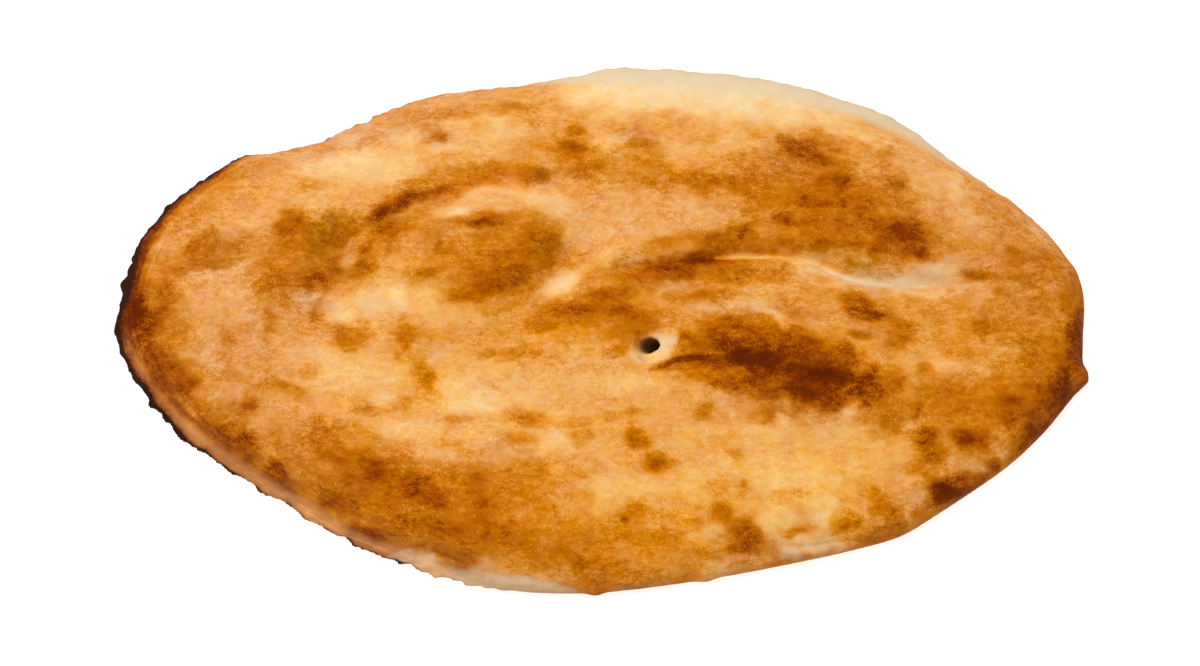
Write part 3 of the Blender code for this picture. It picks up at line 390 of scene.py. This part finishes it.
# How the rim is burnt: degrees round the loaf, how far in it is charred through, fade, strength
RIM_BURN = (
    (0, 0.4, 2, 0.55), (6, 0.2, 1.4, 0.45), (14, 0, 0.8, 0.25), (24, 0, 0.5, 0), (116, 0, 0.6, 0),
    (124, 0.3, 0.8, 0.4), (132, 0.3, 0.9, 0.45), (139, 0.2, 0.7, 0.3), (147, 0, 1, 0.5),
    (153, 0.6, 1.6, 0.9), (158, 2.8, 2.8, 1), (164, 3.8, 2.8, 1), (167, 2.6, 2.6, 1), (170, 1.6, 2.4, 1),
    (176, 3, 4.6, 1), (180, 2.2, 3.4, 1), (184, 0.8, 2.2, 0.95), (188, 1.3, 2.1, 1), (194, 1.4, 1.9, 1),
    (200, 0.8, 1.4, 0.9), (208, 0.3, 1, 0.75), (216, 0.1, 0.6, 0.5), (224, 0.3, 0.9, 0.7),
    (232, 0.3, 1, 0.75), (240, 0, 0.6, 0.3), (246, 0, 0.5, 0), (335, 0, 0.6, 0), (342, 0.4, 1.8, 0.5),
    (350, 1, 2.6, 0.7), (356, 0.8, 2.6, 0.65), (360, 0.4, 2, 0.55),
)

# How much further than the char its browning reaches
BURN_REACH = 2.2

# Painted lines: line, half width, browning, strength. Most are browned crust; the dark lines by the vent's
# rim and in the creases are browned crust with painted shade, and the fold's pale lip is unbrowned dough with
# a painted highlight
BROWNING_SHADE_AND_HIGHLIGHT_LINES = (
    (((-182, -14), (-181.4, -19), (-172.8, -35.9), (-168, -41.5), (-153.4, -55.2), (-145.8, -62.4),
      (-138, -64.5)), 1.6, 0.86, 0.75),
    (((-138, -64.5), (-128.5, -69.9), (-109, -77), (-101.3, -83.2), (-92, -94.5)), 2.0, 0.8, 0.4),
    # the fold's pale lip: unbrowned dough with a painted highlight along its edge
    (((47, 21.6), (58, 22.4), (70, 22.3), (80, 21.2), (90, 18.8)), 1.1, 0.1, 0.8),
    (((78, 21.4), (87, 20), (93, 17.3), (101, 14), (109, 11.6), (118, 10.2), (130, 9)), 1.8, 0.1, 1.0),
    # dark lines by the vent's rim and in the creases: browned crust with painted shade
    (((14.8, -18), (14.2, -15), (16, -12.4), (19, -11.6)), 1.1, 0.85, 0.8),
    (((20, -28), (30, -25), (41, -24.3), (52, -26), (60, -27.8)), 1.2, 0.96, 0.85),
    (((80, -29), (86, -30), (92, -31), (99, -31)), 1.4, 0.98, 0.8),
    (((56, -27), (62, -24.5), (68, -24)), 1.2, 0.94, 0.7),
    (((28, 19.6), (37, 20.6), (46, 21.3)), 0.9, 0.95, 0.6),
)

# The crust's colours, as seen: browning, then red, green and blue out of 255
BROWNING_COLOURS = (
    (0.00, (250, 222, 172)), (0.14, (249, 206, 143)), (0.28, (245, 187, 112)), (0.42, (236, 163, 83)),
    (0.52, (223, 141, 46)), (0.62, (204, 118, 14)), (0.74, (180, 93, 3)), (0.87, (134, 54, 2)),
    (1.00, (101, 35, 4)),
)

# What cool, pinker crust adds to those colours, from one level of green up to another, and how much it drifts
COOLING = (-11, 0, 34)
COOLED_FROM = 40
COOLED_BY = 150
HUE_DRIFT = 1.4

# Colours of the other parts of the dough; the painted shade multiplies what is under it
RAW_COLOUR = (231, 211, 176)
PAINTED_SHADE_TINT = (0.88, 0.98, 1.0, 1.0)
CHAR_COLOUR = (54, 28, 14)
# painted shade on the vent's walls and a painted shadow at its bottom
VENT_WALL_SHADE_COLOUR = (130, 80, 30)
VENT_SHADOW_COLOUR = (110, 74, 34)
WALL_COLOUR = (248, 178, 118)
WALL_LINE_COLOUR = (220, 148, 92)
SHEEN_TINT = (1.0, 0.62, 0.24, 1.0)

# Painted shade, with some duller crust, where the edge slopes hard away from the light: from what lean, how
# strongly, how far in, what fade
EDGE_SHADE_COLOUR = (150, 98, 46)
EDGE_SHADE_STEEPNESS = 0.85
EDGE_SHADE_SHARE = 0.55
EDGE_SHADE_REACH = 13.0
EDGE_SHADE_FADE = 4.0

# Turns an angle round the loaf into a length along its edge, for the streaks there
MEAN_RADIUS = 150.0

# The vent: its place, how wide round it to look for its walls and for its mouth's height, and how deep
# its walls take a brown painted shade and its bottom a dark painted shadow
VENT_PLACE = (20.4, -16.9)
VENT_REACH = 8.0
VENT_MOUTH = 2.0
VENT_WALL_SHADE_DEPTHS = (1.1, 2.2)
VENT_SHADOW_DEPTHS = (1.7, 3.2)

# How far each pattern of the crust moves its browning
BLOTCH_SWING = 0.26
BLOTCH_EDGE_SWING = 0.045
MOTTLE_SWING = 0.36
GRAIN_SWING = 0.35
FLECK_PALENESS = -0.16
SPECK_DARKNESS = 0.12
STREAK_SWING = 0.32

# How the blotches and the mottle break up the painted parts, and how much shows at most
RAW_BREAKS = (0.8, 0.5)
RAW_MOST = 0.85
PAINTED_SHADE_BREAKS = 0.8
CHAR_BREAKS = (0.5, 0.7)
WALL_MOST = 0.82

# The crust's gloss and its fine bumps: what each pattern adds to their height
ROUGHNESS = 0.40
MOTTLE_ROUGHNESS = 0.25
CHAR_ROUGHNESS = 0.4
GLOSS = 0.02
MOTTLE_BUMP = 0.8
GRAIN_BUMP = 0.35
PORE_BUMP = 0.10
STREAK_BUMP = 1.2
BUMP_STRENGTH = 0.6
BUMP_HEIGHT = 0.45

# How far the blotches are drawn out along the loaf: 1 is not at all
DRAWN_OUT = 0.64


def linear(colour):
    """An sRGB colour out of 255 as the shader's linear colour."""
    shares = (c / 255 for c in colour)
    return tuple(s / 12.92 if s <= 0.04045 else ((s + 0.055) / 1.055) ** 2.4 for s in shares) + (1.0,)


def ease(share):
    share = np.clip(share, 0.0, 1.0)
    return share * share * (3.0 - 2.0 * share)


def smooth_curve(points):
    """Points along a smooth curve through the given ones."""
    knots = [Vector(points[0]), *map(Vector, points), Vector(points[-1])]
    found = []
    for a, b, c, d in zip(knots, knots[1:], knots[2:], knots[3:]):
        for step in range(CURVE_STEPS):
            t = step / CURVE_STEPS
            found.append(
                b
                + (c - a) * (0.5 * t)
                + (2 * a - 5 * b + 4 * c - d) * (0.5 * t * t)
                + (3 * b - 3 * c + d - a) * (0.5 * t ** 3)
            )
    return np.array([*found, Vector(points[-1])])


def from_line(x, y, line):
    """Each point's signed distance from a line, plus on its left, and how far along it is nearest."""
    best = np.full(len(x), np.inf)
    signed = np.zeros(len(x))
    share = np.zeros(len(x))
    spans = len(line) - 1
    for i, (start, end) in enumerate(zip(line[:-1], line[1:])):
        run = end - start
        t = np.clip(((x - start[0]) * run[0] + (y - start[1]) * run[1]) / (run @ run), 0.0, 1.0)
        dx = x - start[0] - t * run[0]
        dy = y - start[1] - t * run[1]
        away = np.hypot(dx, dy)
        nearer = away < best
        best = np.where(nearer, away, best)
        signed = np.where(nearer, away * np.sign(run[0] * dy - run[1] * dx), signed)
        share = np.where(nearer, (i + t) / spans, share)
    return signed, share


def stroke(x, y, centre_x, centre_y, half_length, half_width, turn=0):
    """1 in the middle of an oval stroke, easing to 0 outside it."""
    a = math.radians(turn)
    along = ((x - centre_x) * math.cos(a) + (y - centre_y) * math.sin(a)) / half_length
    across = ((y - centre_y) * math.cos(a) - (x - centre_x) * math.sin(a)) / half_width
    return np.exp(-((along ** 2 + across ** 2) ** STROKE_SQUARENESS))


def noise_at(places, pitch, layer):
    """Smooth noise, about -1 to 1, with bumps about a pitch apart."""
    shift = Vector((0.0, 0.0, layer * LAYER_GAP))
    return np.array([2 * noise.noise(Vector(p) + shift) for p in places / pitch])


def deselect_all():
    bpy.ops.object.select_all(action="DESELECT")


def make_active(obj):
    deselect_all()
    obj.select_set(True)
    bpy.context.view_layer.objects.active = obj


def apply_modifier(obj, kind, **settings):
    make_active(obj)
    modifier = obj.modifiers.new(kind.lower(), kind)
    for name, value in settings.items():
        setattr(modifier, name, value)
    bpy.ops.object.modifier_apply(modifier=modifier.name)


def places_of(obj):
    """The object's points, in millimetres."""
    found = np.empty(len(obj.data.vertices) * 3)
    obj.data.vertices.foreach_get("co", found)
    return found.reshape(-1, 3) / MM


def move_places(obj, places):
    obj.data.vertices.foreach_set("co", (places * MM).ravel())
    obj.data.update()


def directions_of(obj):
    """The way each point of the surface faces."""
    found = np.empty(len(obj.data.vertices) * 3)
    obj.data.vertex_normals.foreach_get("vector", found)
    return found.reshape(-1, 3)


def rim_of(places):
    """The plan's outline as angles and radii."""
    angle = np.arctan2(places[:, 1], places[:, 0])
    radius = np.hypot(places[:, 0], places[:, 1])
    bins = np.round(np.degrees(angle)).astype(int) % 360
    outline = np.zeros(360)
    np.maximum.at(outline, bins, radius)
    return outline


def from_rim(places, outline):
    """Each point's angle round the loaf and its distance in from the outline."""
    angle = np.arctan2(places[:, 1], places[:, 0])
    turn = np.degrees(angle) % 360
    radius = np.interp(turn, np.arange(361), np.append(outline, outline[0]))
    return turn, radius - np.hypot(places[:, 0], places[:, 1])


def smoothed(outline):
    """The outline without its crags."""
    wrapped = np.concatenate((outline[-OUTLINE_SMOOTHING:], outline, outline[:OUTLINE_SMOOTHING]))
    window = np.hanning(2 * OUTLINE_SMOOTHING + 1)
    return np.convolve(wrapped, window / window.sum(), mode="valid")


def torn_share(turn):
    """1 along the ragged edge, 0 where the edge is rolled."""
    middle = (TORN_FROM + TORN_TO) / 2
    half = (TORN_TO - TORN_FROM) / 2
    return ease((half + TORN_FADE / 2 - abs(turn - middle)) / TORN_FADE)


def weight_group(obj, name, weights):
    group = obj.vertex_groups.new(name=name)
    for index, weight in enumerate(weights):
        group.add((index,), float(weight), "REPLACE")


def fine_copy(node, name):
    """A fine even mesh in the solid's shape, its facets smoothed out and fewer faces on its flat base."""
    crust = bpy.data.objects.new(name, node.data.copy())
    bpy.context.scene.collection.objects.link(crust)
    make_active(crust)
    bpy.ops.object.mode_set(mode="EDIT")
    bpy.ops.mesh.select_all(action="SELECT")
    bpy.ops.mesh.remove_doubles(threshold=MERGE_DISTANCE)
    bpy.ops.object.mode_set(mode="OBJECT")
    apply_modifier(crust, "REMESH", mode="VOXEL", voxel_size=VOXEL * MM)

    places = places_of(crust)
    turn, inward = from_rim(places, rim_of(places))
    weights = RIM_SMOOTHING + (1 - RIM_SMOOTHING) * ease((inward - RIM_MARGIN) / RIM_KEPT)
    weight_group(crust, "smooth_here", weights * (places[:, 2] > FLAT_BASE))
    apply_modifier(crust, "SMOOTH", factor=0.5, iterations=SMOOTH_ROUNDS, vertex_group="smooth_here")

    places = places_of(crust)
    weight_group(crust, "thin_here", (places[:, 2] < FLAT_BASE).astype(float))
    thinning = {"ratio": BASE_SHARE_KEPT, "vertex_group": "thin_here", "vertex_group_factor": 1.0}
    apply_modifier(crust, "DECIMATE", **thinning)
    crust.vertex_groups.clear()
    return crust


def crease(x, y, points, depth, half_width, ridge_offset, ridge_height, ridge_width):
    away, share = from_line(x, y, smooth_curve(points))
    fade = np.sin(math.pi * share) ** CREASE_TAPER
    groove = -depth * np.exp(-((away / half_width) ** 2))
    ridge = ridge_height * np.exp(-(((away - ridge_offset) / ridge_width) ** 2))
    return fade * (groove + ridge)


def sculpt(crust, outline, highest):
    """Adds the creases, the crust's fine unevenness and the lip's crags to the smooth shape."""
    places = places_of(crust)
    facing = directions_of(crust)
    turn, inward = from_rim(places, outline)
    x, y = places[:, 0], places[:, 1]
    top = ease(facing[:, 2] * 2) * ease((places[:, 2] - TOP_FROM) / TOP_FADE)
    rise = np.zeros(len(places))
    for values in CREASES:
        rise += crease(x, y, *values)
    for layer, (pitch, height) in enumerate(CRUST_UNEVENNESS):
        rise += height * noise_at(places, pitch, layer)
    rough = ease(places[:, 2] - FLAT_BASE)
    ragged = torn_share(turn) * ease(1 - (inward - RIM_MARGIN) / TORN_WIDTH) * rough
    crag = np.zeros(len(places))
    for layer, (pitch, height) in enumerate(CRAGS):
        crag += height * noise_at(places, pitch, CRAG_LAYER + layer)
    outward = facing[:, :2] / np.maximum(np.hypot(*facing[:, :2].T), LEAST_LEAN)[:, None]
    places += facing * (rise * top)[:, None]
    places[:, :2] += outward * (crag * ragged)[:, None]
    places[:, 2] = np.clip(places[:, 2], 0.0, highest)
    move_places(crust, places)


def wandered(places, wanders, layer):
    """Places on the plan shifted by smooth noise, so that what is painted there gets uneven edges."""
    x = places[:, 0].copy()
    y = places[:, 1].copy()
    for pitch, reach in wanders:
        x += reach * noise_at(places, pitch, layer)
        y += reach * noise_at(places, pitch, layer + 1)
        layer += 2
    return x, y


def painted(places, strokes, start):
    """Paints strokes over a start value, each one easing what is there towards its own value."""
    wandered_x, wandered_y = wandered(places, WANDERS, STROKE_LAYER)
    value = np.full(len(places), float(start))
    for *oval, target in strokes:
        share = min(1.0, oval[3] / FULL_WANDER_WIDTH)
        at_x = places[:, 0] + (wandered_x - places[:, 0]) * share
        at_y = places[:, 1] + (wandered_y - places[:, 1]) * share
        value += (target / 100 - value) * stroke(at_x, at_y, *oval)
    return value


def touched(places, value, touches):
    """Adds strokes to a value."""
    x, y = wandered(places, WANDERS, STROKE_LAYER)
    for *oval, amount in touches:
        value = value + amount / 100 * stroke(x, y, *oval)
    return value


def painted_lines(places, value, lines):
    """Paints lines over a value."""
    x, y = wandered(places, (LINE_WANDER,), LINE_LAYER)
    strong, varied = LINE_STRENGTH
    uneven = np.clip(strong + varied * noise_at(places, LINE_WANDER[0] * 2, LINE_LAYER + 2), 0, 1)
    for points, half_width, target, strength in lines:
        away, share = from_line(x, y, smooth_curve(points))
        fade = np.sin(math.pi * share) ** LINE_TAPER
        value = value + (target - value) * strength * fade * uneven * np.exp(-((away / half_width) ** 2))
    return value


def painted_most(places, strokes):
    """The strongest of the strokes at each place."""
    x, y = wandered(places, WANDERS, SOFT_LAYER)
    value = np.zeros(len(places))
    for *oval, target in strokes:
        value = np.maximum(value, target / 100 * stroke(x, y, *oval))
    return value


def along_rim(turn, inward, profile):
    """A band along the rim whose width and strength change round the loaf, half faded at its width."""
    degrees, widths, strengths = np.array(profile).T
    width = np.interp(turn, degrees, widths)
    return np.interp(turn, degrees, strengths) * ease(1.5 - inward / width)


def paint(crust, outline):
    """Gives each point its browning, rawness, char, painted shade and place by the edge, for the crust's
    material.
    """
    places = places_of(crust)
    facing = directions_of(crust)
    turn, inward = from_rim(places, outline)
    even_inward = from_rim(places, smoothed(outline))[1]
    above = 1 - ease(-facing[:, 2] * 2.0) * ease(1 - places[:, 2] / UNDERSIDE_EDGE)
    torn = torn_share(turn)

    burn = np.array(RIM_BURN)
    burn_start, burn_width, burn_strength = (np.interp(turn, burn[:, 0], burn[:, i]) for i in (1, 2, 3))
    burn_in = np.maximum(inward - burn_start, 0)
    scorch = burn_strength * np.exp(-((burn_in / (BURN_REACH * burn_width)) ** 2))

    browning = touched(places, painted(places, STROKES, EVEN_BROWNING), TOUCHES)
    browning = painted_lines(places, browning, BROWNING_SHADE_AND_HIGHLIGHT_LINES)
    browning += (SCORCHED - browning) * scorch
    blotches = UNDERSIDE_BROWNING
    for layer, (pitch, amount) in enumerate(UNDERSIDE_BLOTCHES):
        blotches = blotches + amount * noise_at(places, pitch, UNDERSIDE_LAYER + layer)
    reach, most = COOL_RIM
    cool = painted(places, COOL_STROKES, COOL_START) + most * ease(1 - even_inward / reach) * (1 - scorch)
    # rawness, with the painted highlight along the fold's lip
    raw = painted_lines(places, painted_most(places, RAW_STROKES), RAW_AND_HIGHLIGHT_LINES)

    away = np.hypot(places[:, 0] - VENT_PLACE[0], places[:, 1] - VENT_PLACE[1])
    mouth = (away > VENT_REACH - VENT_MOUTH) & (away < VENT_REACH) & (facing[:, 2] > 0)
    deep = (np.median(places[mouth, 2]) - places[:, 2]) * (away < VENT_REACH) * (places[:, 2] > TOP_FROM)
    # painted shade where the edge slopes hard away from the light
    steep_shade = ease(1 - facing[:, 2] / EDGE_SHADE_STEEPNESS) * ease((EDGE_SHADE_REACH - even_inward) / EDGE_SHADE_FADE)

    for name, values in (
        ("browning", browning * above + blotches * (1 - above)),
        ("cool", cool * above),
        ("raw", np.maximum(raw, along_rim(turn, even_inward, RIM_RAW)) * above),
        # painted shade in the hollows and folds
        ("painted_shade", painted_most(places, PAINTED_SHADE_STROKES) * above),
        ("char", burn_strength * np.exp(-((burn_in / burn_width) ** 2)) * torn),
        ("wall", along_rim(turn, even_inward, WALL_BARE) * (1 - scorch)),
        # painted shade on the vent's walls deeper down, and a painted shadow at its bottom
        ("vent_wall_shade", ease((deep - VENT_WALL_SHADE_DEPTHS[0]) / (VENT_WALL_SHADE_DEPTHS[1] - VENT_WALL_SHADE_DEPTHS[0]))),
        ("vent", ease((deep - VENT_SHADOW_DEPTHS[0]) / (VENT_SHADOW_DEPTHS[1] - VENT_SHADOW_DEPTHS[0]))),
        ("torn", torn),
        ("steep_shade", steep_shade * above * (1 - scorch)),
        ("edge_along", np.radians(turn) * MEAN_RADIUS),
        ("edge_inward", even_inward),
    ):
        attribute = crust.data.attributes.new(name, "FLOAT", "POINT")
        attribute.data.foreach_set("value", values.astype(np.float32))


class Material:
    """A procedural material: short calls that add and join its nodes."""

    def __init__(self, name):
        self.material = bpy.data.materials.new(name)
        self.material.use_nodes = True
        self.nodes = self.material.node_tree.nodes
        self.links = self.material.node_tree.links
        self.surface = self.nodes["Principled BSDF"]

    def add(self, kind, **settings):
        node = self.nodes.new(kind)
        for name, value in settings.items():
            setattr(node, name, value)
        return node

    def put(self, socket, value):
        """Joins a socket to another one, or sets it to a constant."""
        if isinstance(value, bpy.types.NodeSocket):
            self.links.new(value, socket)
        elif value is not None:
            socket.default_value = value

    def math(self, operation, a, b=None, c=None, clamp=False):
        node = self.add("ShaderNodeMath", operation=operation, use_clamp=clamp)
        for socket, value in zip(node.inputs, (a, b, c)):
            self.put(socket, value)
        return node.outputs[0]

    def vary(self, value, pattern, swing):
        """The value moved up and down by a pattern that is 0.5 at its middle."""
        return self.math("MULTIPLY_ADD", self.math("SUBTRACT", pattern, 0.5), swing, value)

    def ease(self, value, low, high):
        node = self.add("ShaderNodeMapRange", interpolation_type="SMOOTHSTEP")
        self.put(node.inputs["Value"], value)
        node.inputs["From Min"].default_value = low
        node.inputs["From Max"].default_value = high
        return node.outputs["Result"]

    def mix(self, share, a, b, clamp=True, blend="MIX"):
        node = self.add("ShaderNodeMix", data_type="RGBA", blend_type=blend, clamp_factor=clamp)
        self.put(node.inputs["Factor"], share)
        self.put(node.inputs[6], a)
        self.put(node.inputs[7], b)
        return node.outputs[2]

    def attribute(self, name):
        return self.add("ShaderNodeAttribute", attribute_name=name).outputs["Fac"]

    def scaled(self, vector, scale):
        node = self.add("ShaderNodeMapping")
        self.put(node.inputs["Vector"], vector)
        node.inputs["Scale"].default_value = scale
        return node.outputs["Vector"]

    def noise(self, vector, pitch, detail=3.0, roughness=0.55, distortion=0.0):
        node = self.add("ShaderNodeTexNoise")
        self.put(node.inputs["Vector"], vector)
        node.inputs["Scale"].default_value = 1.0 / pitch
        node.inputs["Detail"].default_value = detail
        node.inputs["Roughness"].default_value = roughness
        node.inputs["Distortion"].default_value = distortion
        return node.outputs["Fac"]

    def ramp(self, value, stops):
        node = self.add("ShaderNodeValToRGB")
        elements = node.color_ramp.elements
        while len(elements) < len(stops):
            elements.new(1.0)
        for element, (place, colour) in zip(elements, stops):
            element.position = place
            element.color = linear(colour)
        self.put(node.inputs["Fac"], value)
        return node.outputs["Color"]


def cooler(stops):
    """The same browning in pinker, greyer dough, less so where it is dark."""
    found = []
    for place, colour in stops:
        share = min(1.0, max(0.0, (colour[1] - COOLED_FROM) / (COOLED_BY - COOLED_FROM)))
        found.append((place, [max(0, c + share * d) for c, d in zip(colour, COOLING)]))
    return found


def crust_material():
    m = Material("baked_crust")
    place = m.add("ShaderNodeTexCoord").outputs["Object"]
    in_mm = 1 / MM
    even = m.scaled(place, (in_mm, in_mm, in_mm))
    drawn = m.scaled(place, (DRAWN_OUT * in_mm, in_mm, in_mm))

    blotch = m.noise(drawn, 4.2, detail=6.0, roughness=0.62, distortion=0.6)
    drift = m.noise(even, 7.5, detail=5.0, roughness=0.6)
    calm = m.noise(even, 16.0, detail=2.0)
    mottle = m.noise(drawn, 1.8, detail=3.0, roughness=0.65)
    grain = m.noise(even, 0.7, detail=2.0, roughness=0.6)
    pores = m.noise(even, 0.3, detail=2.0)

    # streaks drawn out along the edge
    edge = m.add("ShaderNodeCombineXYZ")
    m.put(edge.inputs["X"], m.math("MULTIPLY", m.attribute("edge_along"), 0.06))
    m.put(edge.inputs["Y"], m.attribute("edge_inward"))
    streaks = m.noise(edge.outputs[0], 1.3, detail=2.0)
    wall = m.attribute("wall")
    by_edge = m.ease(m.attribute("edge_inward"), 22.0, 4.0)

    browning = m.attribute("browning")
    patchy = m.math("MULTIPLY_ADD", m.ease(browning, 0.05, 0.5), 0.75, 0.3)
    patchy = m.math("MULTIPLY", patchy, m.math("MULTIPLY_ADD", m.ease(calm, 0.3, 0.7), 1.0, 0.4))
    browning = m.vary(browning, blotch, BLOTCH_SWING)
    browning = m.vary(browning, m.ease(blotch, 0.36, 0.64), BLOTCH_EDGE_SWING)
    finer = m.vary(m.vary(0.0, mottle, MOTTLE_SWING), grain, GRAIN_SWING)
    browning = m.math("MULTIPLY_ADD", finer, patchy, browning)
    fleck = m.ease(m.noise(even, 0.8, detail=1.0, roughness=0.5), 0.62, 0.72)
    seldom = m.ease(m.noise(even, 5.0, detail=1.0), 0.40, 0.62)
    browning = m.math("MULTIPLY_ADD", m.math("MULTIPLY", fleck, seldom), FLECK_PALENESS, browning)
    speck = m.ease(m.noise(drawn, 0.9, detail=1.0, roughness=0.5), 0.36, 0.27)
    often = m.ease(m.noise(even, 6.0, detail=2.0), 0.42, 0.62)
    browning = m.math("MULTIPLY_ADD", m.math("MULTIPLY", speck, often), SPECK_DARKNESS, browning)
    by_edge = m.math("MULTIPLY", by_edge, m.attribute("torn"))
    browning = m.vary(browning, streaks, m.math("MULTIPLY", by_edge, STREAK_SWING))
    cool = m.vary(m.attribute("cool"), drift, HUE_DRIFT)
    colour = m.ramp(browning, BROWNING_COLOURS)
    colour = m.mix(cool, colour, m.ramp(browning, cooler(BROWNING_COLOURS)), clamp=False)

    raw = m.attribute("raw")
    broken = m.vary(m.vary(0.0, blotch, RAW_BREAKS[0]), mottle, RAW_BREAKS[1])
    raw = m.math("MULTIPLY_ADD", broken, m.ease(raw, 0.0, 0.4), raw)
    colour = m.mix(m.math("MULTIPLY", m.ease(raw, 0.1, 1.0), RAW_MOST), colour, linear(RAW_COLOUR))

    # painted shade darkens the hollows and folds
    painted_shade = m.vary(m.attribute("painted_shade"), blotch, PAINTED_SHADE_BREAKS)
    colour = m.mix(m.ease(painted_shade, 0.0, 1.0), colour, PAINTED_SHADE_TINT, blend="MULTIPLY")

    wall_colour = m.mix(m.ease(streaks, 0.35, 0.60), linear(WALL_LINE_COLOUR), linear(WALL_COLOUR))
    colour = m.mix(m.math("MULTIPLY", wall, WALL_MOST), colour, wall_colour)

    # painted shade, with some duller crust, on the sharply sloping edge
    colour = m.mix(m.math("MULTIPLY", m.attribute("steep_shade"), EDGE_SHADE_SHARE), colour, linear(EDGE_SHADE_COLOUR))

    char = m.vary(m.vary(m.attribute("char"), blotch, CHAR_BREAKS[0]), mottle, CHAR_BREAKS[1])
    colour = m.mix(m.ease(char, 0.25, 0.85), colour, linear(CHAR_COLOUR))

    # painted shade on the vent's walls and a painted shadow at its bottom
    colour = m.mix(m.attribute("vent_wall_shade"), colour, linear(VENT_WALL_SHADE_COLOUR))
    colour = m.mix(m.attribute("vent"), colour, linear(VENT_SHADOW_COLOUR))
    m.put(m.surface.inputs["Base Color"], colour)

    rough = m.math("MULTIPLY_ADD", mottle, MOTTLE_ROUGHNESS, ROUGHNESS)
    rough = m.math("MULTIPLY_ADD", m.attribute("char"), CHAR_ROUGHNESS, rough, clamp=True)
    m.put(m.surface.inputs["Roughness"], rough)
    m.surface.inputs["Specular IOR Level"].default_value = GLOSS
    m.surface.inputs["Specular Tint"].default_value = SHEEN_TINT

    height = m.math("MULTIPLY_ADD", grain, GRAIN_BUMP, m.math("MULTIPLY", mottle, MOTTLE_BUMP))
    height = m.math("MULTIPLY_ADD", pores, PORE_BUMP, height)
    height = m.math("MULTIPLY_ADD", m.math("MULTIPLY", streaks, wall), STREAK_BUMP, height)
    bump = m.add("ShaderNodeBump")
    bump.inputs["Strength"].default_value = BUMP_STRENGTH
    bump.inputs["Distance"].default_value = BUMP_HEIGHT * MM
    m.put(bump.inputs["Height"], height)
    m.put(m.surface.inputs["Normal"], bump.outputs["Normal"])
    return m.material


def make_crust(node):
    crust = fine_copy(node, "baked_loaf")
    outline = rim_of(places_of(crust))
    sculpt(crust, outline, places_of(node)[:, 2].max())
    paint(crust, outline)
    crust.data.materials.clear()
    crust.data.materials.append(crust_material())
    crust.data.shade_smooth()
    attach(crust, "root")
    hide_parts("bread")


def make_floor():
    bpy.ops.mesh.primitive_plane_add(size=TABLE_SIZE, location=(0.0, 0.0, 0.0))
    floor = bpy.context.object
    floor.name = "studio_floor"
    m = Material("pale_floor")
    m.surface.inputs["Base Color"].default_value = TABLE_COLOUR
    m.surface.inputs["Roughness"].default_value = 0.9
    m.surface.inputs["Specular IOR Level"].default_value = 0.1
    m.surface.inputs["Emission Color"].default_value = WHITE
    m.surface.inputs["Emission Strength"].default_value = TABLE_GLOW
    floor.data.materials.append(m.material)


def aim(obj, target):
    obj.rotation_euler = (Vector(target) - obj.location).to_track_quat("-Z", "Y").to_euler()


def make_light(name, place, size, power):
    light = bpy.data.lights.new(name, "AREA")
    light.size = size
    light.energy = power
    lamp = bpy.data.objects.new(name, light)
    lamp.location = place
    aim(lamp, (0.0, 0.0, 0.0))
    bpy.context.scene.collection.objects.link(lamp)


def make_studio():
    world = bpy.data.worlds.new("studio")
    world.use_nodes = True
    sky = world.node_tree.nodes["Background"]
    sky.inputs["Color"].default_value = WHITE
    sky.inputs["Strength"].default_value = WORLD_LIGHT
    bpy.context.scene.world = world
    make_light("window", WINDOW_PLACE, WINDOW_SIZE, WINDOW_POWER)
    bpy.context.scene.view_settings.view_transform = "Standard"


def make_camera():
    camera = bpy.data.cameras.new("camera")
    camera.sensor_width = SENSOR_WIDTH
    camera.lens = SENSOR_WIDTH * CAMERA_DISTANCE / VIEW_WIDTH
    holder = bpy.data.objects.new("camera", camera)
    elevation = math.radians(CAMERA_ELEVATION)
    back = Vector((0.0, -math.cos(elevation), math.sin(elevation)))
    holder.location = Vector(CAMERA_AIM) + CAMERA_DISTANCE * back
    aim(holder, CAMERA_AIM)
    bpy.context.scene.collection.objects.link(holder)
    bpy.context.scene.camera = holder


make_camera()
make_studio()
make_floor()
make_crust(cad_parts["bread"])
